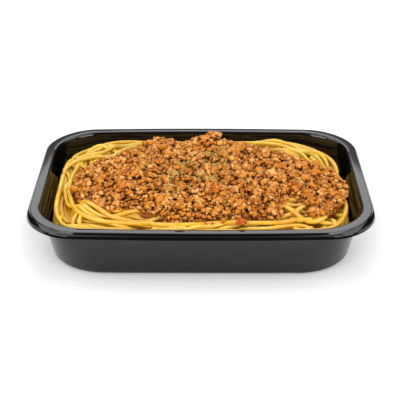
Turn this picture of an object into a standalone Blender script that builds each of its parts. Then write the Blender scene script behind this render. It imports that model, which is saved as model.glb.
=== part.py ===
"""A ready meal of spaghetti bolognese in its black plastic tray.

The tray is one thin formed sheet with a flat sealing flange and a turned-down lip. A bed of
spaghetti fills it to the rim at the front and falls short of the wall at the sides and the
back. A heap of minced meat in sauce covers the bed, and one crumb of it lies apart in front.

Metres, +Z up. The origin is at the middle of the tray's base, the long side lies along X and
the front faces -Y.
"""

import math

import bmesh
import bpy
from mathutils import Vector, geometry, noise

MM = 0.001
COLLECTION = "pasta_bolognese"
CLEARANCE = 0.3 * MM  # between solids that touch

# The tray, measured over its turned-down lip less LIP_REACH on each side.
TRAY_LENGTH = 215.0 * MM
TRAY_WIDTH = 145.9 * MM
TRAY_HEIGHT = 37.0 * MM
TRAY_CORNER = 29.9 * MM
SIDE_BOW = 2.9 * MM  # how far the middle of a long side stands out past its ends
BASE_BOW = 0.6 * MM
SHEET = 0.6 * MM
LIP_REACH = 0.9 * MM
LIP_DEPTH = 3.6 * MM
LIP_FACE = 1.5 * MM  # height of the lip's flat outer face
LIP_LEAN = 18  # degrees that the face leans from upright
LIP_ROUND = 0.75 * MM
LEDGE_SLOPE = 22  # degrees
STEP_LEAN = 22
STEP_INSET = 0.3 * MM  # how far the step leans inwards
FLANGE_EDGE = 0.7 * MM  # from the nominal edge in to the foot of the flange's step
FLANGE_END_EDGE = 0.35 * MM  # the same on the short sides
FLANGE_CORNER = 33.0 * MM
FLANGE_OUTER_ROUND = 0.65 * MM
FLANGE_INNER_ROUND = 2.0 * MM
WALL_INSET = 7.2 * MM  # from the tray's nominal edge in to the wall's top
WALL_CORNER = 28.9 * MM
WALL_CORNER_GROWTH = 0.16  # metres of corner radius for each metre down
END_DRAFT = 0.136  # metres inwards for each metre down, at the short sides
SIDE_DRAFT = 0.125
FLOOR_ROUND = 2.4 * MM

# The bed of spaghetti.
BED_HALF_LENGTH = 93.0 * MM
BED_BACK = 58.6 * MM
BED_FRONT = -65.9 * MM
BED_BOW = 1.8 * MM
BED_BACK_CORNER = 38.0 * MM
BED_FRONT_CORNER = 30.0 * MM
BED_CROWN = 41.5 * MM  # height of the bed's middle
BED_FALL = 6.5 * MM  # how much lower the bed is at its edge
BED_MIDDLE_Y = -4.0 * MM
BED_EDGE_Y = 64.0 * MM
SHOULDER_DROP = 0.3 * MM
WALL_CONTACT = 14.0 * MM  # height where the pasta meets the side and back walls
FRONT_CONTACT = 35.2 * MM
FRONT_RISE_START = 42.0 * MM  # distance in front of the middle where the contact starts to rise
FRONT_RISE_LENGTH = 20.0 * MM
SHOULDER_PROFILE = ((0.0, 0.0), (0.45, 0.33), (0.7, 0.62), (0.88, 0.86))
STRAND_RELIEF = 0.9 * MM

# The heap of mince.
HEAP_CENTRE = Vector((6.0 * MM, -8.0 * MM))
HEAP_REACHES = tuple(MM * reach for reach in (87, 57, 52, 54, 59, 65, 90, 79, 60, 52, 57, 84))
HEAP_DEPTH = 6.0 * MM
HEAP_EDGE_POWER = 7.0
RIM_BULGE = 1.6 * MM  # height of the heap's widest line above the bed
CLUMP_SPACING = 9.0 * MM
CLUMP_HEIGHT = 1.9 * MM
OUTLINE_WOBBLE = 0.035
# Each hump or dip: its place, its height and how far it spreads.
HUMPS = (
    (Vector((7.0 * MM, 37.0 * MM)), 7.6 * MM, 8.0 * MM),
    (Vector((-33.0 * MM, 35.0 * MM)), 5.0 * MM, 10.0 * MM),
    (Vector((-13.0 * MM, 43.0 * MM)), -4.0 * MM, 7.0 * MM),
    (Vector((-17.0 * MM, -52.0 * MM)), 1.8 * MM, 8.0 * MM),
)

# The crumb that lies apart.
CRUMB_PLACE = Vector((25.0 * MM, -63.8 * MM))
CRUMB_SIZE = Vector((8.0 * MM, 5.4 * MM, 5.0 * MM))
CRUMB_RELIEF = 0.18

# How finely the outlines are divided.
CORNER_STEPS = 11
LONG_SIDE_STEPS = 8
SHORT_SIDE_STEPS = 4
ROUND_STEPS = 3
HEAP_DIRECTIONS = 60


def clear_scene():
    for old in list(bpy.data.objects):
        bpy.data.objects.remove(old, do_unlink=True)


def make_collection():
    collection = bpy.data.collections.new(COLLECTION)
    bpy.context.scene.collection.children.link(collection)
    return collection


def make_material(name, colour, roughness):
    material = bpy.data.materials.new(name)
    material.use_nodes = True
    shader = material.node_tree.nodes["Principled BSDF"]
    shader.inputs["Base Color"].default_value = (*colour, 1.0)
    shader.inputs["Roughness"].default_value = roughness
    shader.inputs["Metallic"].default_value = 0.0
    return material


def make_object(name, mesh, material, collection):
    mesh.shade_smooth()
    mesh.set_sharp_from_angle(angle=math.radians(50))
    piece = bpy.data.objects.new(name, mesh)
    piece.data.materials.append(material)
    collection.objects.link(piece)
    return piece


def smooth_step(value):
    value = min(max(value, 0.0), 1.0)
    return value * value * (3.0 - 2.0 * value)


def blend(start, end, share):
    return start + (end - start) * share


def rounded_outline(half_x, back, front, back_corner, front_corner, bow=0.0):
    """A rectangle with round corners, as points in turn from the back right corner leftwards."""
    corners = (
        (half_x - back_corner, back - back_corner, back_corner, 0, LONG_SIDE_STEPS),
        (back_corner - half_x, back - back_corner, back_corner, 90, SHORT_SIDE_STEPS),
        (front_corner - half_x, front + front_corner, front_corner, 180, LONG_SIDE_STEPS),
        (half_x - front_corner, front + front_corner, front_corner, 270, SHORT_SIDE_STEPS),
    )
    arcs = []
    for centre_x, centre_y, radius, start, _ in corners:
        arc = []
        for step in range(CORNER_STEPS + 1):
            angle = math.radians(start + 90.0 * step / CORNER_STEPS)
            arc.append(Vector((centre_x + radius * math.cos(angle), centre_y + radius * math.sin(angle))))
        arcs.append(arc)
    points = []
    for index, corner in enumerate(corners):
        side_steps = corner[4]
        points += arcs[index]
        following = arcs[(index + 1) % len(arcs)][0]
        for step in range(1, side_steps):
            points.append(arcs[index][-1].lerp(following, step / side_steps))
    middle_y = (back + front) / 2
    half_y = (back - front) / 2
    for point in points:
        side = (point.y - middle_y) / half_y
        point.y += bow * side * (1.0 - (point.x / half_x) ** 2)
    return points


def arc_points(centre, radius, start, end):
    """Points of an arc in a section, in degrees from the outward direction."""
    points = []
    for step in range(ROUND_STEPS + 1):
        angle = math.radians(blend(start, end, step / ROUND_STEPS))
        points.append((centre[0] + radius * math.cos(angle), centre[1] + radius * math.sin(angle)))
    return points


def tray_outline(reach, corner):
    half_x = TRAY_LENGTH / 2 + reach
    half_y = TRAY_WIDTH / 2 + reach
    return rounded_outline(half_x, half_y, -half_y, corner, corner, SIDE_BOW)


def wall_outline(height, inset=0.0):
    """The wall's inner side at one height, or further in by the inset."""
    depth = TRAY_HEIGHT - height
    half_x = TRAY_LENGTH / 2 - WALL_INSET - END_DRAFT * depth - inset
    half_y = TRAY_WIDTH / 2 - WALL_INSET - SIDE_DRAFT * depth - inset
    corner = WALL_CORNER + WALL_CORNER_GROWTH * depth - inset
    bow = blend(SIDE_BOW, BASE_BOW, depth / TRAY_HEIGHT)
    return rounded_outline(half_x, half_y, -half_y, corner, corner, bow)


def lip_rings():
    """The turned-down lip from its edge up to the ledge."""
    lean = math.radians(LIP_LEAN)
    top = (LIP_REACH - LIP_FACE * math.tan(lean), TRAY_HEIGHT - LIP_DEPTH + LIP_FACE)
    centre = (top[0] - LIP_ROUND * math.cos(lean), top[1] - LIP_ROUND * math.sin(lean))
    section = [(LIP_REACH, TRAY_HEIGHT - LIP_DEPTH)]
    section += arc_points(centre, LIP_ROUND, LIP_LEAN, 90 - LEDGE_SLOPE)
    rings = []
    for reach, height in section:
        rings.append(ring_at(tray_outline(reach, TRAY_CORNER + reach), height))
    return rings


def flange_outline(reach):
    """The foot of the flange's step, or further in by a negative reach."""
    half_x = TRAY_LENGTH / 2 - FLANGE_END_EDGE + reach
    half_y = TRAY_WIDTH / 2 - FLANGE_EDGE + reach
    corner = FLANGE_CORNER + reach
    return rounded_outline(half_x, half_y, -half_y, corner, corner, SIDE_BOW)


def distance_to_ring(point, ring):
    distances = []
    for start, end in zip(ring, ring[1:] + ring[:1]):
        nearest, share = geometry.intersect_point_line(point, start.xy, end.xy)
        if 0.0 <= share <= 1.0:
            distances.append((point - nearest).length)
        distances.append((point - start.xy).length)
    return min(distances)


def ledge_ring(lip_top):
    """The ledge's inner side, higher where the sloping ledge is wider."""
    rise = math.tan(math.radians(LEDGE_SLOPE))
    ring = []
    for point in flange_outline(0.0):
        width = distance_to_ring(point, lip_top)
        ring.append(Vector((point.x, point.y, lip_top[0].z + rise * width)))
    return ring


def flange_rings():
    """The flat flange between its two roundings, from its leaning step to the wall's top."""
    outer = FLANGE_OUTER_ROUND
    inner = FLANGE_INNER_ROUND
    middle = -STEP_INSET - outer * math.cos(math.radians(STEP_LEAN))
    rings = []
    for reach, height in arc_points((middle, TRAY_HEIGHT - outer), outer, STEP_LEAN, 90):
        rings.append(ring_at(flange_outline(reach), height))
    for reach, height in arc_points((inner - WALL_INSET, TRAY_HEIGHT - inner), inner, 90, 174):
        outline = tray_outline(reach, WALL_CORNER + WALL_INSET + reach)
        rings.append(ring_at(outline, height))
    return rings


def floor_section(lift=0.0):
    """The rounding between wall and floor, as (height, inset). A lift makes it smaller."""
    radius = FLOOR_ROUND - lift
    middle = SHEET + FLOOR_ROUND
    points = arc_points((-FLOOR_ROUND, middle), radius, 0, -90)
    return [(height, -reach) for reach, height in points]


def ring_at(outline, height):
    return [Vector((point.x, point.y, height)) for point in outline]


def loft(name, rings, first_end, last_end):
    """Joins rings of as many points each. An end is open, flat, or closed round a middle point."""
    mesh = bpy.data.meshes.new(name)
    shape = bmesh.new()
    rows = [[shape.verts.new(point) for point in ring] for ring in rings]
    count = len(rows[0])
    for lower, upper in zip(rows, rows[1:]):
        for index in range(count):
            after = (index + 1) % count
            shape.faces.new((lower[index], lower[after], upper[after], upper[index]))
    close_end(shape, rows[0], first_end)
    close_end(shape, rows[-1], last_end)
    bmesh.ops.recalc_face_normals(shape, faces=shape.faces)
    shape.to_mesh(mesh)
    shape.free()
    return mesh


def close_end(shape, row, end):
    if end == "flat":
        shape.faces.new(row)
    elif end != "open":
        middle = shape.verts.new(end)
        for index, point in enumerate(row):
            shape.faces.new((point, row[(index + 1) % len(row)], middle))


def face_upwards(mesh):
    """Turns an open sheet so that its floor faces up."""
    lowest = min(mesh.polygons, key=lambda face: face.center.z)
    if lowest.normal.z < 0:
        mesh.flip_normals()


def make_tray(collection):
    rings = lip_rings()
    rings.append(ledge_ring(rings[-1]))
    rings += flange_rings()
    for height, inset in floor_section():
        rings.append(ring_at(wall_outline(height, inset), height))
    mesh = loft("tray", rings, "open", "flat")
    face_upwards(mesh)
    material = make_material("black_plastic", (0.02, 0.02, 0.022), 0.3)
    tray = make_object("tray", mesh, material, collection)
    sheet = tray.modifiers.new("sheet", "SOLIDIFY")
    sheet.thickness = SHEET
    sheet.offset = -1.0
    sheet.use_even_offset = True
    return tray


def bed_height(x, y):
    """The smooth dome that the strands' tops keep to."""
    across = (y - BED_MIDDLE_Y) / BED_EDGE_Y
    along = x / BED_HALF_LENGTH
    return BED_CROWN - BED_FALL * math.sqrt(along**4 + across**4)


def heap_reach(angle):
    """How far the mince goes in one direction from its centre, smoothly between the reaches."""
    count = len(HEAP_REACHES)
    place = (angle / (2.0 * math.pi)) % 1.0 * count
    index = int(place)
    before, start, end, after = (HEAP_REACHES[(index + step) % count] for step in (-1, 0, 1, 2))
    share = place - index
    rise = (end - before) / 2.0
    next_rise = (after - start) / 2.0
    square = share * share
    cube = square * share
    reach = start * (2 * cube - 3 * square + 1) + rise * (cube - 2 * square + share)
    reach += end * (3 * square - 2 * cube) + next_rise * (cube - square)
    wobble = noise.noise(Vector((3.0 * math.cos(angle), 3.0 * math.sin(angle), 1.7)) * 2.2)
    return reach * (1.0 + OUTLINE_WOBBLE * wobble)


def heap_share(x, y):
    """0 at the middle of the mince and 1 on its outline."""
    away = Vector((x, y)) - HEAP_CENTRE
    return away.length / heap_reach(math.atan2(away.y, away.x))


def contact_height(y):
    """Where the pasta leaves the wall: low at the sides and back, at the rim in front."""
    front = smooth_step((-y - FRONT_RISE_START) / FRONT_RISE_LENGTH)
    return blend(WALL_CONTACT, FRONT_CONTACT, front)


def pasta_foot_rings():
    """The pasta's flat underside and the rounding above it."""
    rings = []
    for height, inset in reversed(floor_section(CLEARANCE)):
        rings.append(ring_at(wall_outline(height, inset), height))
    return rings


def pasta_side_rings(shoulder):
    """The pasta's side, along the wall to its contact and then in to its shoulder."""
    contact = []
    for index, wall_point in enumerate(wall_outline(TRAY_HEIGHT)):
        height = contact_height(wall_point.y)
        point = wall_outline(height, CLEARANCE)[index]
        contact.append(Vector((point.x, point.y, height)))
    rings = []
    for inwards, upwards in SHOULDER_PROFILE:
        ring = []
        for low, high in zip(contact, shoulder):
            flat = low.xy.lerp(high.xy, inwards)
            ring.append(Vector((flat.x, flat.y, blend(low.z, high.z, upwards))))
        rings.append(ring)
    return rings


def pasta_top_rings(shoulder_outline):
    """Rings over the bed, every second one a groove between bundles of strands."""
    middle = Vector((0.0, BED_MIDDLE_Y))
    shares = (1.0, 0.97, 0.94, 0.91, 0.88, 0.85, 0.82, 0.78, 0.72, 0.63, 0.5, 0.34, 0.17)
    rings = []
    for level, share in enumerate(shares):
        ring = []
        for step, edge in enumerate(shoulder_outline):
            place = middle.lerp(edge, share)
            bare = smooth_step((heap_share(*place) - 1.03) / 0.05)
            turn = 2.0 * math.pi * step / len(shoulder_outline)
            groove = STRAND_RELIEF * (level % 2) * (0.65 + 0.35 * math.sin(5.0 * turn + level))
            height = bed_height(*place) - groove * bare
            ring.append(Vector((place.x, place.y, height)))
        rings.append(ring)
    for point in rings[0]:
        point.z -= SHOULDER_DROP
    return rings


def make_spaghetti(collection):
    outline = rounded_outline(
        BED_HALF_LENGTH, BED_BACK, BED_FRONT, BED_BACK_CORNER, BED_FRONT_CORNER, BED_BOW
    )
    top = pasta_top_rings(outline)
    rings = pasta_foot_rings() + pasta_side_rings(top[0]) + top
    crown = Vector((0.0, BED_MIDDLE_Y, bed_height(0.0, BED_MIDDLE_Y)))
    mesh = loft("spaghetti", rings, "flat", crown)
    material = make_material("spaghetti", (0.78, 0.48, 0.1), 0.4)
    return make_object("spaghetti", mesh, material, collection)


def heap_point(direction, share):
    return HEAP_CENTRE + direction * share * heap_reach(math.atan2(direction.y, direction.x))


def heap_top(place, share):
    """The mince's upper surface: a steep clumpy edge, a low dome, and its humps."""
    height = bed_height(*place) + RIM_BULGE
    height += (HEAP_DEPTH - RIM_BULGE) * math.sqrt(max(1.0 - share**HEAP_EDGE_POWER, 0.0))
    clumps = noise.noise(Vector((place.x, place.y, 0.02)) / CLUMP_SPACING)
    height += CLUMP_HEIGHT * clumps * smooth_step((1.0 - share) / 0.08)
    for centre, rise, spread in HUMPS:
        away = (place - centre).length / spread
        height += rise * math.exp(-away * away)
    return height


def make_bolognese(collection):
    under_shares = (0.25, 0.5, 0.75, 0.93)
    top_shares = (0.99, 0.965, 0.93, 0.87, 0.8, 0.71, 0.61, 0.5, 0.38, 0.26, 0.13)
    directions = []
    for step in range(HEAP_DIRECTIONS):
        angle = 2.0 * math.pi * step / HEAP_DIRECTIONS
        directions.append(Vector((math.cos(angle), math.sin(angle))))
    rings = []
    for share in under_shares:
        places = [heap_point(direction, share) for direction in directions]
        rings.append([Vector((p.x, p.y, bed_height(*p) + CLEARANCE)) for p in places])
    edge = [heap_point(direction, 1.0) for direction in directions]
    rings.append([Vector((p.x, p.y, bed_height(*p) + RIM_BULGE)) for p in edge])
    for share in top_shares:
        places = [heap_point(direction, share) for direction in directions]
        rings.append([Vector((p.x, p.y, heap_top(p, share))) for p in places])
    under = HEAP_CENTRE.to_3d()
    under.z = bed_height(*HEAP_CENTRE) + CLEARANCE
    over = HEAP_CENTRE.to_3d()
    over.z = heap_top(HEAP_CENTRE, 0.0)
    mesh = loft("bolognese", rings, under, over)
    material = make_material("bolognese", (0.5, 0.2, 0.06), 0.45)
    return make_object("bolognese", mesh, material, collection)


def make_crumb(collection):
    mesh = bpy.data.meshes.new("stray_mince")
    shape = bmesh.new()
    bmesh.ops.create_icosphere(shape, subdivisions=3, radius=0.5)
    underside = -0.4 * CRUMB_SIZE.z
    for vert in shape.verts:
        relief = noise.noise(vert.co * 4.0 + Vector((2.0, 5.0, 1.0)))
        vert.co *= 1.0 + CRUMB_RELIEF * relief
        vert.co *= CRUMB_SIZE
        vert.co.z = max(vert.co.z, underside)
    shape.to_mesh(mesh)
    shape.free()
    material = make_material("stray_mince", (0.42, 0.12, 0.03), 0.45)
    crumb = make_object("stray_mince", mesh, material, collection)
    pasta_top = bed_height(CRUMB_PLACE.x, CRUMB_PLACE.y + CRUMB_SIZE.y / 2)
    crumb.location = (CRUMB_PLACE.x, CRUMB_PLACE.y, pasta_top - underside + 2.0 * CLEARANCE)
    return crumb


def main():
    clear_scene()
    collection = make_collection()
    make_tray(collection)
    make_spaghetti(collection)
    make_bolognese(collection)
    make_crumb(collection)


main()
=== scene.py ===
import math

import bmesh
import bpy
import numpy as np
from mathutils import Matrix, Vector, noise
from mathutils.bvhtree import BVHTree


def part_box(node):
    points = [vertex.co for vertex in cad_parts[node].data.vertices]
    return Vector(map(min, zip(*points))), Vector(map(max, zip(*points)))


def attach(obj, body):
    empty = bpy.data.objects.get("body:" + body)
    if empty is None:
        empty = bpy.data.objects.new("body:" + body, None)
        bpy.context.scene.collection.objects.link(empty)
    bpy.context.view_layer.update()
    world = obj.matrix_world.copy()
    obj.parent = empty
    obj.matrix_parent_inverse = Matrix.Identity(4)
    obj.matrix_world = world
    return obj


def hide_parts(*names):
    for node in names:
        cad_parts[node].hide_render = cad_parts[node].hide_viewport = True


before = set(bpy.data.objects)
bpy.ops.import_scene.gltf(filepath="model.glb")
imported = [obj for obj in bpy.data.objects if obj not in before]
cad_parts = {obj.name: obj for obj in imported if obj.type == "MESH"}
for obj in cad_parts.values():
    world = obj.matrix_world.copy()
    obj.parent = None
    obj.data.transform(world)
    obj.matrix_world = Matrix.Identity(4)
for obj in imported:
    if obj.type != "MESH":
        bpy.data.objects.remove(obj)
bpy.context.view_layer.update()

MM = 0.001
SEED = 11

# The camera and the lights.
CAMERA_X = 1.7 * MM
CAMERA_DISTANCE = 596.3 * MM
CAMERA_OVER_RIM = 309.2 * MM
CAMERA_PITCH = math.radians(28.756)
CAMERA_YAW = math.radians(0.231)
LENS = 91.8
SENSOR = 36.0
LIGHT_DISTANCE = 1.3

# The pasta.
STRAND_RADIUS = 1.4 * MM
STRAND_SIDES = 8
STRAND_STEP = 2.0 * MM
EDGE_INSET = STRAND_RADIUS + 0.3 * MM  # from the pasta's outline in to the middle of a strand
CELL = 0.5 * MM
BED_DEPTH = 8.6 * MM  # from the pasta's upper surface down to the bed of the loose strands
BED_LIMIT = 0.5 * MM  # how far a loose strand may stand over the pasta's upper surface
TUCK_LENGTH = 46.0 * MM  # each strand's ends turn in under the mince over this length
OUTLINE_POINTS = 720
OUTLINE_DROP = 8.0 * MM  # from the pasta's highest point down to where its outline is taken

# Patches that the mince leaves bare, so that the pasta shows: middle and half size in millimetres.
BARE_PATCHES = (((57, -51), (7, 15)), ((-50, -60), (27, 10)))
BARE_BED = 5.0 * MM  # from the pasta's upper surface down to the bed of the strands there
BARE_FALL = 9.0 * MM  # how far the mince's core drops away under them

# The mince.
GRAIN_SPACING = 1.5 * MM
GRAIN_TEMPLATES = 24
LARGE_GRAIN = 2.2 * MM  # crumbs over this radius take the finest shapes
MIDDLE_GRAIN = 1.1 * MM  # and crumbs under this one the plainest
MINCE_DEPTH = 2.0 * MM  # from the mince's upper surface down to the bed of the crumbs
MINCE_RISE = 2.3 * MM  # how far the clumps stand over the plain heap
STACK_LIMIT = 2.4 * MM  # how far the middle of a crumb may stand over the plain heap
CLUMP_SIZE = 9.0 * MM
CLUMP_DROP = 3.4 * MM  # how deep the gaps between clumps are
KNOT_SIZE = 4.2 * MM
KNOT_DROP = 0.9 * MM  # how deep the gaps between the smaller knots in a clump are
FILL_SPACING = 1.35 * MM  # between the small crumbs that cover what shows of the core
FILL_SHADE = 0.4  # how much painted shade those crumbs get, where 1 is as much as in the gaps between clumps
CHUNK_PLACE = (74.0, -8.0)  # the middle of the one large orange chunk, in millimetres
STRAY_GRAINS = 26


# ---------------- the frame's surfaces

def surface_tree(node):
    """A solid's surface, to cast rays at."""
    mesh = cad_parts[node].data
    corners = [vert.co.copy() for vert in mesh.vertices]
    return BVHTree.FromPolygons(corners, [tuple(face.vertices) for face in mesh.polygons])


def top_of(tree, x, y):
    """The height of a solid's upper side at a place, or None beside it."""
    hit = tree.ray_cast(Vector((x, y, 0.2)), Vector((0.0, 0.0, -1.0)))[0]
    return None if hit is None else hit.z


def outline_at(tree, height):
    """A solid's outline at one height, as evenly spaced points and their inward normals."""
    middle = Vector((0.0, 0.0, height))
    points = []
    for step in range(OUTLINE_POINTS):
        angle = 2.0 * math.pi * step / OUTLINE_POINTS
        hit = tree.ray_cast(middle, Vector((math.cos(angle), math.sin(angle), 0.0)))[0]
        points.append((hit.x, hit.y))
    points = np.array(points)
    for _ in range(60):
        points = (np.roll(points, 1, 0) + 2.0 * points + np.roll(points, -1, 0)) / 4.0
    closed = np.vstack([points, points[:1]])
    lengths = np.concatenate([[0.0], np.cumsum(np.linalg.norm(np.diff(closed, axis=0), axis=1))])
    even = np.linspace(0.0, lengths[-1], OUTLINE_POINTS, endpoint=False)
    points = np.stack([np.interp(even, lengths, closed[:, axis]) for axis in (0, 1)], 1)
    along = np.roll(points, -1, 0) - np.roll(points, 1, 0)
    along /= np.linalg.norm(along, axis=1)[:, None]
    inward = np.stack([-along[:, 1], along[:, 0]], 1)
    return points, inward, lengths[-1]


# ---------------- heights of what is piled up

class HeightMap:
    """The height of whatever lies in the tray, on a square grid seen from above."""

    def __init__(self, low, high):
        self.low = np.array(low)
        self.count = np.ceil((np.array(high) - self.low) / CELL).astype(int)
        self.heights = np.zeros((self.count[1], self.count[0]))

    def tops(self, tree):
        """The height of a solid's upper side over each cell, and 0 beside it."""
        found = np.zeros_like(self.heights)
        for row in range(self.count[1]):
            for column in range(self.count[0]):
                x, y = self.low + (np.array((column, row)) + 0.5) * CELL
                found[row, column] = top_of(tree, x, y) or 0.0
        return found

    def window(self, places, radius):
        """Cells near each place, with their height above a ball's centre plane."""
        reach = int(math.ceil(radius / CELL))
        home = np.floor((places - self.low) / CELL).astype(int)
        for shift_y in range(-reach, reach + 1):
            for shift_x in range(-reach, reach + 1):
                column = np.clip(home[:, 0] + shift_x, 0, self.count[0] - 1)
                row = np.clip(home[:, 1] + shift_y, 0, self.count[1] - 1)
                centre = self.low + (np.stack([column, row], 1) + 0.5) * CELL
                away = ((centre - places) ** 2).sum(1)
                near = away < radius * radius
                rise = np.sqrt(np.maximum(radius * radius - away, 0.0))
                yield row, column, near, rise

    def rest(self, places, radius):
        """The height of the centre of a ball that rests at each place."""
        found = np.full(len(places), -1.0)
        for row, column, near, rise in self.window(places, radius):
            touch = self.heights[row, column] + rise
            found = np.where(near, np.maximum(found, touch), found)
        return found

    def stamp(self, places, centres, radius):
        """Adds balls to the pile, with their centres at the given heights."""
        for row, column, near, rise in self.window(places, radius):
            top = centres + rise
            np.maximum.at(self.heights, (row[near], column[near]), top[near])

    def slope(self, places, reach):
        """How steeply the pile rises at each place, over a distance each way."""
        ways = (np.array((reach, 0.0)), np.array((0.0, reach)))
        rises = [self.look(places + way) - self.look(places - way) for way in ways]
        return np.stack(rises, 1) / (2.0 * reach)

    def look(self, places, heights=None):
        """The height at each place, here or on another grid of the same size."""
        heights = self.heights if heights is None else heights
        cell = np.floor((places - self.low) / CELL).astype(int)
        column = np.clip(cell[:, 0], 0, self.count[0] - 1)
        row = np.clip(cell[:, 1], 0, self.count[1] - 1)
        return heights[row, column]

    def places(self):
        """The middle of each cell."""
        columns, rows = np.meshgrid(np.arange(self.count[0]), np.arange(self.count[1]))
        return self.low + (np.stack([columns, rows], -1) + 0.5) * CELL


def blurred(heights, spread):
    """A grid of heights, averaged over a distance each way."""
    reach = int(3.0 * spread / CELL)
    weights = np.exp(-((np.arange(-reach, reach + 1) * CELL / spread) ** 2) / 2.0)
    weights /= weights.sum()
    for axis in (0, 1):
        heights = np.apply_along_axis(lambda line: np.convolve(line, weights, "same"), axis, heights)
    return heights


def bareness(places):
    """More than 0 inside the patches that the mince leaves bare, and 1 at their middles."""
    found = [(places / MM - middle) / size for middle, size in BARE_PATCHES]
    return np.max([1.0 - (away**2).sum(-1) for away in found], axis=0)


def smoothed(values, rounds):
    """Numbers or points along a line, each averaged with its neighbours."""
    for _ in range(rounds):
        padded = np.concatenate([values[:1], values, values[-1:]])
        values = (padded[:-2] + 2.0 * padded[1:-1] + padded[2:]) / 4.0
    return values


def resampled(points, step):
    """The same path with evenly spaced points."""
    lengths = np.concatenate([[0.0], np.cumsum(np.linalg.norm(np.diff(points, axis=0), axis=1))])
    count = max(int(lengths[-1] / step), 4)
    even = np.linspace(0.0, lengths[-1], count)
    return np.stack([np.interp(even, lengths, points[:, axis]) for axis in range(points.shape[1])], 1)


def spline_through(points, step):
    """A smooth path through a few points, evenly spaced."""
    points = np.array(points, float)
    ends = np.vstack([2 * points[0] - points[1], points, 2 * points[-1] - points[-2]])
    share = np.linspace(0.0, 1.0, 24, endpoint=False)[:, None]
    pieces = []
    for index in range(len(points) - 1):
        before, start, end, after = ends[index : index + 4]
        rise, next_rise = (end - before) / 2.0, (after - start) / 2.0
        square, cube = share**2, share**3
        piece = start * (2 * cube - 3 * square + 1) + rise * (cube - 2 * square + share)
        pieces.append(piece + end * (3 * square - 2 * cube) + next_rise * (cube - square))
    pieces.append(points[-1:])
    return resampled(np.vstack(pieces), step)


# ---------------- meshes

def make_mesh(name, verts, faces, attributes=None):
    """A mesh piece from arrays. A face has as many corners as the rows of its array are long."""
    mesh = bpy.data.meshes.new(name)
    blocks = [np.asarray(block) for block in faces if len(block)]
    corners = np.concatenate([block.ravel() for block in blocks]).astype(np.int32)
    sizes = np.concatenate([np.full(len(block), block.shape[1]) for block in blocks])
    starts = np.concatenate([[0], np.cumsum(sizes)[:-1]]).astype(np.int32)
    mesh.vertices.add(len(verts))
    mesh.vertices.foreach_set("co", np.asarray(verts, np.float32).ravel())
    mesh.loops.add(len(corners))
    mesh.loops.foreach_set("vertex_index", corners)
    mesh.polygons.add(len(sizes))
    mesh.polygons.foreach_set("loop_start", starts)
    mesh.update(calc_edges=True)
    for title, values in (attributes or {}).items():
        attribute = mesh.attributes.new(title, "FLOAT", "POINT")
        attribute.data.foreach_set("value", np.asarray(values, np.float32))
    mesh.shade_smooth()
    piece = bpy.data.objects.new(name, mesh)
    bpy.context.scene.collection.objects.link(piece)
    return piece


def tube(path, radius):
    """A strand with cut ends: its points, its side faces and its two end faces."""
    along = np.gradient(path, axis=0)
    along /= np.linalg.norm(along, axis=1)[:, None]
    side = np.cross(along, (0.0, 0.0, 1.0))
    side /= np.maximum(np.linalg.norm(side, axis=1), 1e-9)[:, None]
    over = np.cross(side, along)
    bevel = 0.3 * radius
    path = np.vstack([path[:1] - along[:1] * bevel, path, path[-1:] + along[-1:] * bevel])
    side = np.vstack([side[:1], side, side[-1:]])
    over = np.vstack([over[:1], over, over[-1:]])
    sizes = np.full(len(path), radius)
    sizes[[0, -1]] *= 0.8
    angles = 2.0 * np.pi * np.arange(STRAND_SIDES) / STRAND_SIDES
    ring = np.cos(angles)[None, :, None] * side[:, None] + np.sin(angles)[None, :, None] * over[:, None]
    verts = (path[:, None] + ring * sizes[:, None, None]).reshape(-1, 3)
    index = np.arange(len(path) * STRAND_SIDES).reshape(len(path), STRAND_SIDES)
    after = np.roll(index, -1, 1)
    quads = np.stack([index[:-1], index[1:], after[1:], after[:-1]], -1).reshape(-1, 4)
    ends = np.stack([index[0], index[-1][::-1]])
    return verts, quads, ends


class Bundle:
    """Many closed shapes gathered into one piece."""

    def __init__(self):
        self.verts = []
        self.blocks = {}
        self.attributes = {}
        self.total = 0

    def add(self, verts, blocks, **attributes):
        """Adds a shape. Its faces come in one array for each number of corners."""
        for faces in blocks:
            self.blocks.setdefault(faces.shape[1], []).append(faces + self.total)
        for title, value in attributes.items():
            self.attributes.setdefault(title, []).append(np.broadcast_to(value, len(verts)))
        self.verts.append(verts)
        self.total += len(verts)

    def make(self, name, material, slot, *replaced):
        faces = [np.vstack(self.blocks[size]) for size in sorted(self.blocks)]
        attributes = {title: np.concatenate(values) for title, values in self.attributes.items()}
        piece = make_mesh(name, np.vstack(self.verts), faces, attributes)
        return finish_piece(piece, material, slot, *replaced)


def finish_piece(piece, material, slot, *replaced):
    """Gives a piece its material, its body and the solid that it stands for."""
    piece.data.materials.clear()
    piece.data.materials.append(material)
    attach(piece, "root")
    if replaced:
        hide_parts(*replaced)
    return piece


def core_of(node, name, voxel, sink, lower_underside=False):
    """A solid's own shape as a fine mesh, sunk under its surface. sink is a function of place.

    A thin solid's underside goes down as far as its upper side sinks, so that it stays below it.
    """
    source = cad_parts[node]
    piece = bpy.data.objects.new(name, source.data.copy())
    bpy.context.scene.collection.objects.link(piece)
    remesh = piece.modifiers.new("fine", "REMESH")
    remesh.mode = "VOXEL"
    remesh.voxel_size = voxel
    remesh.use_smooth_shade = True
    graph = bpy.context.evaluated_depsgraph_get()
    mesh = bpy.data.meshes.new_from_object(piece.evaluated_get(graph))
    piece.modifiers.clear()
    piece.data = mesh
    for vert, normal in [(vert, vert.normal.copy()) for vert in mesh.vertices]:
        way = Vector((0.0, 0.0, 1.0)) if lower_underside and normal.z < -0.3 else normal
        vert.co -= way * sink(vert.co)
    mesh.update()
    return piece


# ---------------- materials

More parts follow.
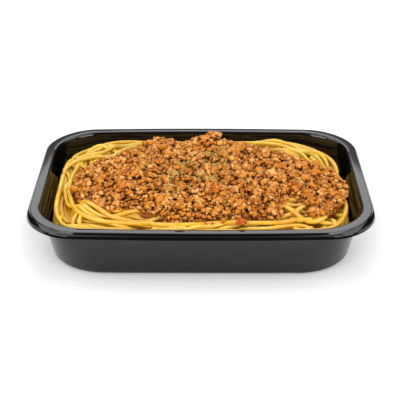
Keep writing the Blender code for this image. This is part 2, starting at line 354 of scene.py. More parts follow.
def new_material(name):
    """A new material with its nodes and its shader."""
    material = bpy.data.materials.new(name)
    material.use_nodes = True
    tree = material.node_tree
    shader = tree.nodes["Principled BSDF"]
    return material, tree, shader


def node(tree, kind, **settings):
    """A new node. A setting is one of its sockets by title, or else one of its properties."""
    made = tree.nodes.new(kind)
    for title, value in settings.items():
        if title in made.inputs:
            made.inputs[title].default_value = value
        else:
            setattr(made, title, value)
    return made


def pattern(tree, scale, detail, roughness=0.55):
    """A noise in the object's own metres. scale is patches for each metre."""
    place = tree.nodes.get("place") or node(tree, "ShaderNodeTexCoord", name="place")
    made = node(tree, "ShaderNodeTexNoise", Scale=scale, Detail=detail, Roughness=roughness)
    tree.links.new(place.outputs["Object"], made.inputs["Vector"])
    return made.outputs[0]


def ramp(tree, value, *stops):
    """Colours along a value. A stop is a value and its colour."""
    made = node(tree, "ShaderNodeValToRGB")
    elements = made.color_ramp.elements
    while len(elements) < len(stops):
        elements.new(0.5)
    for element, (position, colour) in zip(elements, stops):
        element.position = position
        element.color = (*colour, 1.0)
    tree.links.new(value, made.inputs["Fac"])
    return made.outputs["Color"]


def grey(level):
    return (level, level, level)


def attribute(tree, title):
    """A number that the mesh carries at each of its points."""
    return node(tree, "ShaderNodeAttribute", attribute_name=title).outputs["Fac"]


def mix(tree, share, first, second):
    """Two colours mixed. Share and colours are plain values or other nodes' outputs."""
    made = node(tree, "ShaderNodeMix", data_type="RGBA")
    for socket, value in ((made.inputs[0], share), (made.inputs[6], first), (made.inputs[7], second)):
        if isinstance(value, (int, float)):
            socket.default_value = value
        elif isinstance(value, tuple):
            socket.default_value = (*value, 1.0)
        else:
            tree.links.new(value, socket)
    return made.outputs[2]


def scaled(tree, value, factor):
    """A node's output times a number."""
    made = node(tree, "ShaderNodeMath", operation="MULTIPLY")
    tree.links.new(value, made.inputs[0])
    made.inputs[1].default_value = factor
    return made.outputs[0]


def bump(tree, shader, height, distance, strength):
    """Fine relief from a pattern, as deep as distance."""
    made = node(tree, "ShaderNodeBump", Strength=strength, Distance=distance)
    tree.links.new(height, made.inputs["Height"])
    tree.links.new(made.outputs["Normal"], shader.inputs["Normal"])


def linear(red, green, blue):
    """A colour given as it shows on a screen, 0 to 255, as light."""
    shares = [level / 255.0 for level in (red, green, blue)]
    return tuple(s / 12.92 if s <= 0.04045 else ((s + 0.055) / 1.055) ** 2.4 for s in shares)


def plastic_material():
    """Glossy black plastic with fine scuffs."""
    material, tree, shader = new_material("black_plastic")
    cloud = pattern(tree, 35.0, 3.0)
    tint = ramp(tree, cloud, (0.3, (0.0021, 0.0019, 0.0022)), (0.7, (0.0029, 0.0027, 0.003)))
    tree.links.new(tint, shader.inputs["Base Color"])
    scuffs = ramp(tree, pattern(tree, 420.0, 5.0, 0.65), (0.35, grey(0.06)), (0.75, grey(0.085)))
    tree.links.new(scuffs, shader.inputs["Roughness"])
    bump(tree, shader, pattern(tree, 60.0, 2.0), 0.05 * MM, 0.1)
    return material


def pasta_material(name, pale, yellow, amber):
    """Wet pasta, from strand to strand a different yellow, stained near the mince."""
    material, tree, shader = new_material(name)
    along = pattern(tree, 95.0, 4.0)
    colour = ramp(tree, along, (0.3, amber), (0.5, yellow), (0.72, pale))
    colour = mix(tree, attribute(tree, "tone"), colour, pale)
    colour = mix(tree, attribute(tree, "stain"), colour, linear(206, 128, 18))
    tree.links.new(colour, shader.inputs["Base Color"])
    wet = pattern(tree, 300.0, 3.0)
    tree.links.new(ramp(tree, wet, (0.3, grey(0.24)), (0.7, grey(0.42))), shader.inputs["Roughness"])
    shader.inputs["Subsurface Weight"].default_value = 0.35
    shader.inputs["Subsurface Radius"].default_value = (1.0, 0.7, 0.2)
    shader.inputs["Subsurface Scale"].default_value = 1.2 * MM
    bump(tree, shader, pattern(tree, 700.0, 4.0), 0.08 * MM, 0.35)
    return material


def mince_material(name, light, middle, dark):
    """Rough greasy mince, duller the deeper it lies between other crumbs, and darkened there with
    painted shade.
    """
    material, tree, shader = new_material(name)
    fine = pattern(tree, 520.0, 5.0, 0.65)
    colour = ramp(tree, fine, (0.32, dark), (0.5, middle), (0.68, light))
    tone = attribute(tree, "tone")
    colour = mix(tree, scaled(tree, tone, 0.5), colour, light)
    # Painted shade: the deeper a crumb lies between others, the more its colour goes to a dark
    # red-brown.
    depth = ramp(tree, attribute(tree, "depth"), (0.05, grey(0.0)), (0.8, grey(0.9)))
    colour = mix(tree, depth, colour, linear(84, 20, 0))
    tree.links.new(colour, shader.inputs["Base Color"])
    wet = pattern(tree, 380.0, 3.0)
    gloss = ramp(tree, wet, (0.35, grey(0.18)), (0.65, grey(0.4)))
    gloss = mix(tree, depth, gloss, grey(0.8))
    tree.links.new(gloss, shader.inputs["Roughness"])
    shader.inputs["Specular IOR Level"].default_value = 0.37
    shader.inputs["Specular Tint"].default_value = (1.0, 0.78, 0.5, 1.0)
    shader.inputs["Subsurface Weight"].default_value = 0.1
    shader.inputs["Subsurface Radius"].default_value = (1.0, 0.4, 0.2)
    shader.inputs["Subsurface Scale"].default_value = 0.8 * MM
    bump(tree, shader, pattern(tree, 900.0, 5.0, 0.7), 0.5 * MM, 0.9)
    return material


def herb_material():
    """Dry herbs, from olive to straw."""
    material, tree, shader = new_material("herbs")
    colour = ramp(
        tree, attribute(tree, "tone"),
        (0.0, linear(118, 100, 26)), (0.45, linear(174, 148, 58)), (1.0, linear(222, 198, 118)),
    )
    speckle = scaled(tree, pattern(tree, 900.0, 3.0), 0.6)
    colour = mix(tree, speckle, colour, linear(170, 132, 50))
    tree.links.new(colour, shader.inputs["Base Color"])
    shader.inputs["Roughness"].default_value = 0.75
    bump(tree, shader, pattern(tree, 1600.0, 3.0), 0.1 * MM, 0.5)
    return material


def floor_material():
    """Pale matt studio paper."""
    material, tree, shader = new_material("studio_floor")
    tint = ramp(tree, pattern(tree, 4.0, 2.0), (0.3, grey(0.86)), (0.7, grey(0.88)))
    tree.links.new(tint, shader.inputs["Base Color"])
    shader.inputs["Roughness"].default_value = 0.9
    shader.inputs["Specular IOR Level"].default_value = 0.1
    return material


# ---------------- the pasta

class Pasta:
    """Loose strands laid one after another on the bed, each resting on those under it."""

    def __init__(self):
        self.random = np.random.default_rng(SEED)
        self.tree = surface_tree("spaghetti")
        self.heap = surface_tree("bolognese")
        low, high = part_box("tray")
        self.map = HeightMap(low[:2], high[:2])
        self.bed = self.map.tops(self.tree)
        self.map.heights = np.where(self.bed > 0.0, self.bed - BED_DEPTH, 0.0)
        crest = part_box("spaghetti")[1].z
        self.outline = outline_at(self.tree, crest - OUTLINE_DROP)
        self.strands = []

    def ring_path(self, outline, start, length, inset):
        """A path along an outline. inset is a function of the distance along it."""
        points, inward, perimeter = outline
        distance = np.arange(0.0, length, STRAND_STEP)
        place = ((start + distance) / perimeter % 1.0) * OUTLINE_POINTS
        index = np.arange(OUTLINE_POINTS + 1)
        around = np.vstack([points, points[:1]])
        inwards = np.vstack([inward, inward[:1]])
        edge = np.stack([np.interp(place, index, around[:, axis]) for axis in (0, 1)], 1)
        turn = np.stack([np.interp(place, index, inwards[:, axis]) for axis in (0, 1)], 1)
        return edge + turn * inset(distance)[:, None]

    def kept_inside(self, path, gap):
        """A path moved in wherever it comes too near the pasta's outline."""
        points, inward, _ = self.outline
        away = np.linalg.norm(path[:, None] - points[None], axis=2)
        nearest = away.argmin(1)
        depth = ((path - points[nearest]) * inward[nearest]).sum(1)
        return path + inward[nearest] * np.maximum(gap - depth, 0.0)[:, None]

    def settle(self, path, rounds, pull):
        """Lets a strand slide sideways into the hollows beside it."""
        for _ in range(rounds):
            slope = self.map.slope(path, STRAND_RADIUS)
            along = np.gradient(path, axis=0)
            along /= np.maximum(np.linalg.norm(along, axis=1), 1e-9)[:, None]
            across = slope - along * (slope * along).sum(1)[:, None]
            move = -np.clip(across, -1.5, 1.5) * pull
            path = smoothed(path + smoothed(move, 6), 1)
        return resampled(self.kept_inside(path, EDGE_INSET), STRAND_STEP)

    def heights(self, path, radius, stiffness):
        """A strand's height along its path: it bridges the hollows that are narrower than it bends."""
        touch = self.map.rest(path, radius)
        level = touch.copy()
        for _ in range(stiffness):
            level = np.maximum(touch, smoothed(level, 1))
        return smoothed(level, 2)

    def lay(self, path, radius, stiffness=16, dip=0.0):
        """Lays a strand on the pile. Its ends dip under their neighbours."""
        level = self.heights(path, radius, stiffness)
        place = np.arange(len(path)) * STRAND_STEP
        end = np.clip(np.minimum(place, place[-1] - place) / (11.0 * MM), 0.0, 1.0)
        level = level - dip * (1.0 - end) ** 2
        fine = resampled(np.column_stack([path, level]), CELL)
        self.map.stamp(fine[:, :2], fine[:, 2], radius * 0.96)
        self.strands.append((np.column_stack([path, level]), radius))

    def route(self, length, insets, drift, tuck):
        """How far in from the outline a strand runs, with its ends turned in under the mince."""
        pick = self.random
        inset = pick.uniform(*insets)
        slant = pick.normal(0.0, drift)
        wave = pick.uniform(0.5, 2.5) * MM
        period = pick.uniform(70.0, 160.0) * MM
        phase = pick.uniform(0.0, 2.0 * math.pi)
        deep = pick.uniform(*tuck)

        def inset_at(distance):
            away = inset + slant * (distance - length / 2)
            away = away + wave * np.sin(2.0 * math.pi * distance / period + phase)
            end = np.clip(np.minimum(distance, length - distance) / TUCK_LENGTH, 0.0, 1.0)
            return np.maximum(away, EDGE_INSET) + deep * (1.0 - end) ** 2

        return inset_at

    def scatter(self, count, insets, lengths, drift, tuck=(24.0 * MM, 40.0 * MM)):
        """Strands that follow the tray's outline. Of a few tries, the lowest is kept."""
        pick = self.random
        for _ in range(count):
            best = None
            for _ in range(6):
                length = pick.uniform(*lengths)
                start = pick.uniform(0.0, self.outline[2])
                inset_at = self.route(length, insets, drift, tuck)
                path = smoothed(self.ring_path(self.outline, start, length, inset_at), 12)
                path = self.settle(resampled(path, STRAND_STEP), 6, 0.25 * MM)
                radius = STRAND_RADIUS * pick.uniform(0.94, 1.05)
                level = self.heights(path, radius, 16)
                over = level + radius - self.map.look(path, self.bed)
                if over.max() < BED_LIMIT and (best is None or over.mean() < best[0]):
                    best = (over.mean(), path, radius)
            if best is not None:
                self.lay(best[1], best[2])

    def line_sides(self, lowest, highest, spacing):
        """Strands one over another down the pasta's sides, where the wall stands off."""
        pick = self.random
        for height in np.arange(lowest, highest, spacing):
            outline = outline_at(self.tree, height)
            start = 0.0
            while start < outline[2]:
                length = pick.uniform(90.0, 240.0) * MM
                wave = pick.uniform(0.2, 0.9) * MM
                period = pick.uniform(50.0, 120.0) * MM
                phase = pick.uniform(0.0, 2.0 * math.pi)
                radius = STRAND_RADIUS * pick.uniform(0.94, 1.05)

                def inset_at(distance):
                    end = np.clip(np.minimum(distance, length - distance) / (14.0 * MM), 0.0, 1.0)
                    return radius + 0.1 * MM + wave + 4.0 * MM * (1.0 - end) ** 2

                path = smoothed(self.ring_path(outline, start, length, inset_at), 4)
                distance = np.arange(len(path)) * STRAND_STEP
                level = height + wave * np.sin(2.0 * math.pi * distance / period + phase)
                self.strands.append((np.column_stack([path, level]), radius))
                start += length - pick.uniform(8.0, 20.0) * MM

    def stain(self, path):
        """How much sauce a strand has taken up, by how near the mince is."""
        near = []
        for point in path:
            gap = self.heap.find_nearest(Vector(point))[3]
            near.append(math.exp(-gap / (3.5 * MM)))
        return np.array(near)

    def make(self, name, material, *replaced):
        """The strands as one piece."""
        bundle = Bundle()
        for path, radius in self.strands:
            verts, quads, ends = tube(path, radius)
            tone = self.random.uniform(0.0, 0.5)
            stain = np.clip(self.stain(path[::3]) * 0.45, 0.0, 0.5)
            stain = np.interp(np.arange(len(path) + 2), np.arange(len(stain)) * 3 + 1, stain)
            bundle.add(verts, (quads, ends), tone=tone, stain=np.repeat(stain, STRAND_SIDES))
        return bundle.make(name, material, "pasta", *replaced)


# Strands that lie on top, each as a few places in millimetres.
TOP_STRANDS = (
    (
        (-79, 14), (-83, 3), (-88, -8), (-88, -19), (-83, -31),
        (-74, -44), (-62, -54), (-48, -60), (-34, -61),
    ),
    ((-91, 14), (-93, 4), (-92, -18), (-92, -34), (-91, -46), (-85, -56), (-74, -62), (-60, -64)),
    ((-74, -36), (-64, -44), (-54, -48), (-44, -50), (-34, -49)),
    ((-80, -34), (-70, -47), (-60, -51), (-50, -52), (-38, -48), (-30, -42)),
    ((-80, -20), (-77, -31), (-68, -43), (-57, -53), (-45, -56), (-33, -55), (-22, -50), (-14, -44)),
    ((-47, -56), (-38, -59), (-30, -59), (-22, -62), (-14, -65), (-4, -65), (8, -63)),
    ((-78, -58), (-66, -59), (-56, -61), (-46, -64), (-34, -66)),
    ((-52, 34), (-61, 38), (-69, 45), (-77, 44), (-80, 36), (-79, 22), (-79, 10), (-76, 0)),
    ((-82, 12), (-85, 24), (-82, 31), (-74, 31), (-66, 33), (-60, 39), (-54, 49), (-44, 53), (-32, 52)),
    ((-94, 6), (-90, 15), (-84, 20), (-79, 24), (-70, 27), (-60, 31), (-50, 40), (-38, 49), (-26, 53)),
    ((22, 49), (34, 56), (46, 57), (57, 54), (67, 50), (75, 42), (79, 34), (80, 24), (78, 12)),
    ((20, 45), (32, 47), (43, 45), (53, 39), (61, 30), (68, 20), (73, 12), (76, 4)),
    ((70, 42), (79, 36), (86, 32), (87, 26), (84, 17), (80, 8)),
    ((84, 26), (90, 19), (91, 12), (87, 6)),
    ((40, -37), (48, -40), (57, -41), (66, -40), (74, -37)),
    ((42, -46), (50, -45), (58, -46), (67, -48), (74, -46)),
    ((40, -54), (50, -52), (58, -50), (66, -44), (70, -36)),
    ((44, -33), (52, -36), (60, -36), (70, -33)),
    ((84, -34), (90, -36), (92, -46), (91, -56), (84, -61), (72, -64)),
    ((80, -38), (86, -43), (90, -50), (89, -58), (80, -63)),
    ((78, -46), (82, -53), (83, -60), (76, -64), (64, -65)),
    ((14, -65), (28, -64), (38, -63), (46, -60), (54, -57), (64, -58), (74, -62)),
    ((2, -66), (10, -65), (17, -61), (24, -56), (32, -51), (40, -45)),
    ((-12, -66), (-3, -65), (5, -63), (13, -60), (22, -58), (34, -56)),
    ((86, -20), (91, -26), (92, -36), (88, -46)),
    ((47, -38), (51, -45), (57, -52), (64, -56), (71, -57), (77, -53), (79, -46), (76, -39)),
)


def make_pasta():
    """Strands at the sides, then loose ones, then those on top, over a core."""
    pasta = Pasta()
    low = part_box("spaghetti")[0].z
    pasta.line_sides(low + 14.5 * MM, low + 35.0 * MM, 2.55 * MM)
    # How many, how far in from the outline, how long, how much they drift inwards, and the tuck.
    pasta.scatter(30, (EDGE_INSET, 14.0 * MM), (150.0 * MM, 300.0 * MM), 0.02)
    pasta.scatter(26, (8.0 * MM, 30.0 * MM), (120.0 * MM, 260.0 * MM), 0.05)
    pasta.scatter(26, (EDGE_INSET, 12.0 * MM), (110.0 * MM, 240.0 * MM), 0.05)
    pasta.scatter(12, (8.0 * MM, 30.0 * MM), (90.0 * MM, 200.0 * MM), 0.08)
    pasta.scatter(60, (13.0 * MM, 38.0 * MM), (60.0 * MM, 130.0 * MM), 0.12, (2.0 * MM, 12.0 * MM))
    bare = bareness(pasta.map.places()) > -0.2
    raised = np.maximum(pasta.map.heights, pasta.bed - BARE_BED)
    pasta.map.heights = np.where(bare, raised, pasta.map.heights)
    for places in TOP_STRANDS:
        path = spline_through(np.array(places) * MM, STRAND_STEP)
        path = pasta.settle(smoothed(path, 2), 4, 0.2 * MM)
        pasta.lay(path, STRAND_RADIUS * pasta.random.uniform(0.98, 1.05), dip=3.4 * MM)
    material = pasta_material("pasta", linear(221, 190, 84), linear(212, 166, 36), linear(200, 138, 10))
    pasta.make("spaghetti_strands", material, "spaghetti")
    make_pasta_core()
    return pasta


def make_pasta_core():
    """What shows between the strands. It lies deeper where they rise over the tray's rim."""
    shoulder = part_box("tray")[1].z - 3.0 * MM

    def sink(place):
        ripple = noise.noise(Vector(place) / (5.0 * MM))
        deeper = 3.6 * MM if place.z > shoulder else 0.0
        return 2.9 * MM + deeper + 0.6 * MM * ripple

    core = core_of("spaghetti", "spaghetti_core", 2.0 * MM, sink)
    amber = pasta_material("pasta_core", linear(214, 162, 30), linear(206, 146, 20), linear(192, 122, 8))
    finish_piece(core, amber, "pasta")


# ---------------- the mince

def crumb_shape(random, subdivisions):
    """A knobbly crumb about one unit in radius, as points and triangles."""
    shape = bmesh.new()
    bmesh.ops.create_icosphere(shape, subdivisions=subdivisions, radius=1.0)
    ways = np.array([vert.co for vert in shape.verts])
    faces = np.array([[vert.index for vert in face.verts] for face in shape.faces])
    shape.free()
    reach = np.full(len(ways), 0.6)
    for _ in range(random.integers(9, 17)):
        lobe = random.normal(size=3)
        lobe *= random.uniform(0.5, 0.85) / np.linalg.norm(lobe)
        size = random.uniform(0.2, 0.46)
        ahead = ways @ lobe
        inside = ahead**2 - lobe @ lobe + size**2
        length = ahead + np.sqrt(np.maximum(inside, 0.0))
        reach = np.maximum(reach, np.where((inside > 0.0) & (ahead > 0.0), length, 0.0))
    offset = Vector(random.uniform(-50.0, 50.0, 3))
    coarse = np.array([noise.noise(Vector(way) * 2.4 + offset) for way in ways])
    fine = np.array([noise.noise(Vector(way) * 6.0 + offset) for way in ways])
    reach *= 1.0 + 0.24 * (coarse + 0.5 * fine)
    reach /= reach.mean()
    return ways * reach[:, None], faces


def turned(random, verts):
    """Points turned at random."""
    matrix, _ = np.linalg.qr(random.normal(size=(3, 3)))
    if np.linalg.det(matrix) < 0:
        matrix[:, 0] *= -1.0
    return verts @ matrix.T


class Mince:
    """Crumbs of mince piled over a core, in clumps with gaps between them that are dark from real shadow
    and from painted shade.
    """

    KINDS = ("mince_pale", "mince_tan", "mince_orange", "mince_brown")
    SHARES = (0.22, 0.5, 0.8)

    def __init__(self, pasta):
        self.random = np.random.default_rng(SEED + 1)
        self.tree = surface_tree("bolognese")
        self.map = pasta.map
        self.large = [crumb_shape(self.random, 3) for _ in range(GRAIN_TEMPLATES // 2)]
        self.middle = [crumb_shape(self.random, 2) for _ in range(GRAIN_TEMPLATES)]
        self.small = [crumb_shape(self.random, 1) for _ in range(GRAIN_TEMPLATES)]
        self.low, self.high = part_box("bolognese")
        self.grains = []
        top = self.map.tops(self.tree)
        bare = bareness(self.map.places())
        # How far the heap falls away towards the bare patches, and then its core as well.
        self.fall = np.clip(1.0 + 1.3 * bare, 0.0, 1.0) ** 2 * np.maximum(top - pasta.bed, 0.0)
        top = np.where(bare > 0.0, 0.0, top - self.fall)
        self.fall += BARE_FALL * np.clip(3.0 * bare + 1.3, 0.0, 1.0)
        # How deep the gaps are, and the height that the crumbs reach, 0 where there are none.
        self.drop = self.gaps(CLUMP_SIZE, CLUMP_DROP) + self.gaps(KNOT_SIZE, KNOT_DROP)
        self.ceiling = np.where(top > 0.0, top + MINCE_RISE - self.drop, 0.0)
        # The pasta alone, and with the plain heap on it.
        self.under = self.map.heights.copy()
        self.plain = np.maximum(self.under, top)
        core = np.where(top > 0.0, self.ceiling - MINCE_DEPTH, 0.0)
        self.map.heights = np.maximum(self.under, core)

    def gaps(self, size, deepest):
        """How far each cell lies down in the gaps between clumps of a size."""
        low, high = np.array(self.low[:2]), np.array(self.high[:2])
        columns, rows = (np.arange(low[axis] - size, high[axis] + size, size) for axis in (0, 1))
        middles = np.array([(x, y) for x in columns for y in rows])
        middles += self.random.uniform(-0.42, 0.42, middles.shape) * size
        drop = np.zeros_like(self.map.heights)
        for row, places in enumerate(self.map.places()):
            away = np.linalg.norm(places[:, None] - middles[None], axis=2)
            nearest = np.partition(away, 1, axis=1)[:, :2]
            drop[row] = deepest * np.exp(-(((nearest[:, 1] - nearest[:, 0]) / (0.24 * size)) ** 2))
            drop[row] += 0.25 * deepest * np.minimum(nearest[:, 0] / size, 1.0)
        return drop

    def crumb(self, radius):
        """One of the crumb shapes at a size, turned and stretched at random."""
        pick = self.random
        shapes = self.middle if radius > MIDDLE_GRAIN else self.small
        if radius > LARGE_GRAIN:
            shapes = self.large
        verts, faces = shapes[pick.integers(len(shapes))]
        stretch = np.array((pick.uniform(0.85, 1.3), pick.uniform(0.8, 1.1), pick.uniform(0.75, 1.0)))
        return turned(pick, verts) * stretch * radius, faces

    def add(self, place, radius, kind, ceiling=None, embed=0.35):
        """Drops a crumb on the pile at a place."""
        pick = self.random
        verts, faces = self.crumb(radius)
        level = self.map.rest(place[None], radius)[0] - embed * radius
        if ceiling is not None:
            level = min(level, ceiling - 0.75 * radius)
        level = min(level, self.map.look(place[None], self.plain)[0] + STACK_LIMIT)
        level = min(level, self.high.z + 0.1 * MM - verts[:, 2].max())
        verts = verts + np.array((place[0], place[1], level))
        self.map.stamp(place[None], np.array([level]), radius * 0.9)
        # The last item is the share of painted gap shade that the crumb takes.
        self.grains.append((kind, verts, faces, pick.uniform(0.0, 1.0), 1.0))

    def kind_at(self, place):
        """A crumb's kind, by chance and by the patch it lies in."""
        patch = noise.noise(Vector((place[0], place[1], 0.0)) / (14.0 * MM))
        draw = self.random.uniform() + 0.4 * patch
        return self.KINDS[sum(draw > share for share in self.SHARES)]

    def cover(self):
        """Crumbs all over the heap, a jittered grid of them in random order."""
        pick = self.random
        columns = np.arange(self.low.x - GRAIN_SPACING, self.high.x + GRAIN_SPACING, GRAIN_SPACING)
        rows = np.arange(self.low.y - GRAIN_SPACING, self.high.y + GRAIN_SPACING, GRAIN_SPACING)
        places = np.array([(x, y) for x in columns for y in rows])
        places += pick.uniform(-0.6, 0.6, places.shape) * GRAIN_SPACING
        places = places[pick.permutation(len(places))]
        for place, ceiling in zip(places, self.map.look(places, self.ceiling)):
            radius = min(max(pick.lognormal(-0.06, 0.42), 0.55), 2.8) * MM
            around = place + 0.6 * radius * np.array(((1, 0), (-1, 0), (0, 1), (0, -1)))
            if ceiling > 0.0 and self.map.look(around, self.ceiling).min() > 0.0:
                self.add(place, radius, self.kind_at(place), ceiling + pick.uniform(0.0, 0.6) * MM)

    def fill(self, core):
        """Small crumbs wherever the core would show between those already laid."""
        pick = self.random
        for face in core.data.polygons:
            centre = np.array(face.center)
            place = centre[None, :2]
            over = self.map.look(place)[0] - centre[2]
            hidden = self.map.look(place, self.under)[0] - centre[2] > 0.5 * MM
            covered = face.normal.z > 0.75 and over > 1.1 * MM
            shown = not (hidden or covered or face.normal.z < -0.6)
            if not shown or pick.uniform() > face.area / FILL_SPACING**2:
                continue
            radius = min(max(pick.lognormal(-0.1, 0.35), 0.55), 1.9) * MM
            verts, faces = self.crumb(radius)
            centre += np.array(face.normal) * pick.uniform(0.2, 0.7) * radius
            centre[2] = min(centre[2], self.high.z - verts[:, 2].max())
            self.map.stamp(place, centre[2:], radius * 0.9)
            kind = self.kind_at(centre)
            self.grains.append((kind, verts + centre, faces, pick.uniform(0.0, 1.0), FILL_SHADE))

    def spill(self, count):
        """Loose crumbs on the pasta beside the heap."""
        pick = self.random
        middle = (self.low + self.high) / 2
        half = (self.high - self.low) / 2
        placed = 0
        while placed < count:
            angle = pick.uniform(0.0, 2.0 * math.pi)
            reach = pick.uniform(0.8, 1.1)
            place = np.array((
                middle.x + half.x * reach * math.cos(angle),
                middle.y + half.y * reach * math.sin(angle),
            ))
            if top_of(self.tree, place[0], place[1]) is not None:
                continue
            gap = self.tree.find_nearest(Vector((place[0], place[1], middle.z)))[3]
            if gap < pick.uniform(1.0, 7.0) * MM:
                self.add(place, pick.uniform(0.6, 1.4) * MM, self.kind_at(place), None, 0.2)
                placed += 1

    def make(self, tones):
        """The crumbs as pieces, one for each kind, with painted shade where they lie low among the
        others.
        """
        level = blurred(self.map.heights - self.plain, 2.2 * MM) + self.plain
        bundles = {kind: Bundle() for kind in self.KINDS}
        for kind, verts, faces, tone, shade in self.grains:
            # Painted shade: how far each point lies under the blurred pile sets how dark the material
            # paints it.
            under = self.map.look(verts[:, :2], level) - verts[:, 2]
            under = np.minimum(under, self.map.look(verts[:, :2].mean(0)[None], level)[0] - verts[:, 2])
            depth = shade * np.clip((under + 0.2 * MM) / (2.8 * MM), 0.0, 1.0)
            bundles[kind].add(verts, (faces,), tone=tone, depth=depth)
        for kind, bundle in bundles.items():
            replaced = ("bolognese",) if kind == self.KINDS[0] else ()
            bundle.make(kind, mince_material(kind, *tones[kind]), "meat_sauce", *replaced)

    def stray(self):
        """The crumb that lies apart: a few grains stuck together."""
        low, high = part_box("stray_mince")
        middle, half = (low + high) / 2, (high - low) / 2
        bundle = Bundle()
        for step in range(STRAY_GRAINS):
            angle = 2.4 * step
            out = 0.7 * math.sqrt((step + 0.5) / STRAY_GRAINS)
            radius = self.random.uniform(0.8, 1.35) * MM
            place = np.array((
                middle.x + (half.x - 0.4 * radius) * out * math.cos(angle),
                middle.y + (half.y - 0.4 * radius) * out * math.sin(angle),
                low.z + radius + (1.0 - out) * (high.z - low.z - 2.0 * radius),
            ))
            verts, faces = self.middle[step % len(self.middle)]
            verts = turned(self.random, verts) * radius + place
            # Every grain of this crumb gets a slight, even painted shade.
            bundle.add(verts, (faces,), tone=self.random.uniform(0.0, 0.3), depth=0.25)
        return bundle


def make_mince(pasta):
    """The heap, the loose crumbs beside it and the one that lies apart."""
    mince = Mince(pasta)
    mince.add(np.array(CHUNK_PLACE) * MM, 3.1 * MM, "mince_orange", mince.high.z, 0.5)
    mince.cover()
    mince.fill(make_mince_core(mince))
    mince.spill(60)
    mince.make({
        "mince_pale": (linear(228, 178, 112), linear(206, 138, 54), linear(160, 82, 8)),
        "mince_tan": (linear(214, 152, 76), linear(184, 110, 24), linear(136, 60, 0)),
        "mince_orange": (linear(212, 140, 44), linear(184, 100, 10), linear(134, 56, 0)),
        "mince_brown": (linear(192, 124, 56), linear(154, 80, 10), linear(104, 38, 0)),
    })
    tones = (linear(226, 122, 44), linear(198, 84, 20), linear(146, 48, 8))
    sauce = mince_material("stray_mince_sauce", *tones)
    mince.stray().make("stray_crumb", sauce, "meat_sauce", "stray_mince")
    return mince


def make_mince_core(mince):
    """What shows deep between the crumbs. It drops away under the bare patches."""

    def sink(place):
        gap = mince.map.look(np.array([place[:2]]), mince.drop)[0]
        return 2.5 * MM + 0.7 * gap + 0.7 * MM * noise.noise(Vector(place) / (2.0 * MM))

    core = core_of("bolognese", "mince_core", 1.1 * MM, sink, lower_underside=True)
    for vert in core.data.vertices:
        vert.co.z -= mince.map.look(np.array([vert.co[:2]]), mince.fall)[0]
    core.data.update()
    tones = (linear(176, 96, 26), linear(136, 60, 10), linear(88, 30, 2))
    return finish_piece(core, mince_material("mince_core_sauce", *tones), "meat_sauce")


# ---------------- the herbs

# Patches of herbs: place in millimetres, spread and number of flakes.
HERB_PATCHES = (
    ((6, 9), (8, 5), 66),
    ((9, -5), (8, 5), 78),
    ((5, -23), (9, 5), 84),
    ((-11, -9), (7, 6), 50),
    ((-18, -20), (6, 4), 46),
    ((-14, -38), (9, 6), 38),
    ((16, 18), (7, 5), 30),
    ((0, -8), (34, 24), 60),
    ((63, -26), (4, 3), 14),
)


def herb_flake(random, length, width):
    """A thin curled flake with a fold along its middle: three rows of points, above and below."""
    count = 5
    along = np.linspace(-0.5, 0.5, count)
    taper = np.sqrt(np.maximum(1.0 - (2.0 * along) ** 2 * random.uniform(0.6, 0.95), 0.05))
    curl = random.uniform(-0.5, 0.5) * length
    thickness = 0.14 * MM
    rows = []
    for across, lift in ((-0.5, 0.0), (0.5, 0.0), (0.0, 0.22 * width)):
        rows.append(np.stack([
            along * length,
            across * width * taper,
            curl * along**2 + lift * taper,
        ], 1))
    top = np.concatenate([rows[0], rows[2], rows[1]])
    bottom = top - np.array((0.0, 0.0, thickness))
    verts = np.concatenate([top, bottom])
    low = len(top)
    quads = []
    for left in range(count - 1):
        for near in (left, count + left):
            far = near + count
            quads.append((near, near + 1, far + 1, far))
            quads.append((low + near, low + far, low + far + 1, low + near + 1))
        right = 2 * count + left
        quads.append((left, low + left, low + left + 1, left + 1))
        quads.append((right, right + 1, low + right + 1, low + right))
    for near in (0, count):
        far = near + count
        quads.append((near, far, low + far, low + near))
        near, far = near + count - 1, far + count - 1
        quads.append((low + near, low + far, far, near))
    return verts, np.array(quads)


def make_herbs(mince):
    """Flakes in patches, each turned and tilted, lying on the mince."""
    random = np.random.default_rng(SEED + 2)
    bundle = Bundle()
    for centre, spread, count in HERB_PATCHES:
        for _ in range(count):
            place = (np.array(centre) + random.normal(size=2) * np.array(spread) * 0.55) * MM
            length = random.uniform(1.0, 3.4) * MM
            width = random.uniform(0.35, 0.85) * MM
            verts, quads = herb_flake(random, length, width)
            turn = random.uniform(0.0, 2.0 * math.pi)
            tilt = random.normal(0.0, 0.35)
            cos, sin = math.cos(tilt), math.sin(tilt)
            verts = verts @ np.array(((cos, 0, -sin), (0, 1, 0), (sin, 0, cos)))
            cos, sin = math.cos(turn), math.sin(turn)
            verts = verts @ np.array(((cos, sin, 0), (-sin, cos, 0), (0, 0, 1)))
            level = mince.map.rest(place[None], 0.8 * MM)[0] - 0.45 * MM
            level = min(level, mince.high.z - verts[:, 2].max())
            verts = verts + np.array((place[0], place[1], level))
            bundle.add(verts, (quads,), tone=random.uniform(0.0, 1.0))
    bundle.make("herb_flakes", herb_material(), "herbs")


# ---------------- the studio

def make_floor():
    shape = bmesh.new()
    bmesh.ops.create_grid(shape, x_segments=24, y_segments=24, size=6.0)
    mesh = bpy.data.meshes.new("studio_floor")
    shape.to_mesh(mesh)
    shape.free()
    floor = bpy.data.objects.new("studio_floor", mesh)
    bpy.context.scene.collection.objects.link(floor)
    floor.data.materials.append(floor_material())


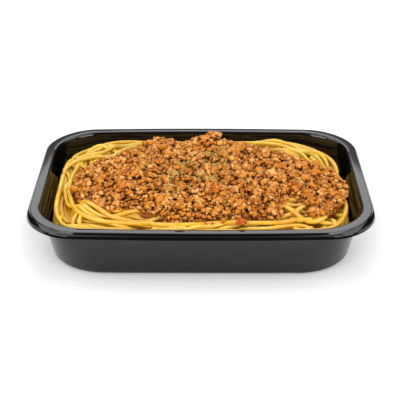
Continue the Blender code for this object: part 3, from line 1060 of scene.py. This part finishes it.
def make_light(name, azimuth, elevation, width, height, radiance):
    """A softbox aimed at the tray. Azimuth is in degrees from straight behind, clockwise from above."""
    turn, rise = math.radians(azimuth), math.radians(elevation)
    place = Vector((math.sin(turn) * math.cos(rise), math.cos(turn) * math.cos(rise), math.sin(rise)))
    place *= LIGHT_DISTANCE
    lamp = bpy.data.lights.new(name, "AREA")
    lamp.shape = "RECTANGLE"
    lamp.size, lamp.size_y = width, height
    lamp.energy = radiance * math.pi * width * height
    made = bpy.data.objects.new(name, lamp)
    made.location = place
    made.rotation_euler = (-place).to_track_quat("-Z", "Y").to_euler()
    bpy.context.scene.collection.objects.link(made)


def make_studio():
    """A pale floor and soft lights all round."""
    make_floor()
    world = bpy.data.worlds.new("studio")
    world.use_nodes = True
    sky = world.node_tree.nodes["Background"]
    sky.inputs["Color"].default_value = (1.0, 1.0, 1.0, 1.0)
    sky.inputs["Strength"].default_value = 0.04
    bpy.context.scene.world = world
    make_light("behind", 0.0, 57.0, 0.95, 1.44, 2.5)
    make_light("low", 0.0, 19.0, 1.5, 0.41, 0.3)
    for name, side in (("left", -1.0), ("right", 1.0)):
        make_light(name, side * 85.0, 45.0, 0.9, 1.0, 2.4)
        make_light("high_" + name, side * 135.0, 55.0, 0.6, 0.6, 3.0)
        make_light("front_" + name, side * 138.0, 18.0, 0.9, 0.3, 13.0)
    bpy.context.scene.view_settings.view_transform = "Standard"


def make_camera():
    """In front of the tray, looking down on it."""
    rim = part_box("tray")[1].z
    camera = bpy.data.cameras.new("camera")
    camera.lens = LENS
    camera.sensor_width = SENSOR
    made = bpy.data.objects.new("camera", camera)
    made.location = (CAMERA_X, -CAMERA_DISTANCE, rim + CAMERA_OVER_RIM)
    made.rotation_euler = (math.pi / 2 - CAMERA_PITCH, 0.0, CAMERA_YAW)
    bpy.context.scene.collection.objects.link(made)
    bpy.context.scene.camera = made


def make_tray():
    """The tray's own shape with its round parts shaded smooth and its edges crisp."""
    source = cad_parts["tray"]
    shape = bmesh.new()
    shape.from_mesh(source.data)
    bmesh.ops.remove_doubles(shape, verts=shape.verts, dist=0.002 * MM)
    mesh = bpy.data.meshes.new("tray_shell")
    shape.to_mesh(mesh)
    shape.free()
    mesh.shade_smooth()
    mesh.set_sharp_from_angle(angle=math.radians(35.0))
    piece = bpy.data.objects.new("tray_shell", mesh)
    bpy.context.scene.collection.objects.link(piece)
    flat = piece.modifiers.new("flat_faces_stay_flat", "WEIGHTED_NORMAL")
    flat.keep_sharp = True
    finish_piece(piece, plastic_material(), "black_plastic", "tray")


make_camera()
make_studio()
make_tray()
PASTA = make_pasta()
MINCE = make_mince(PASTA)
make_herbs(MINCE)
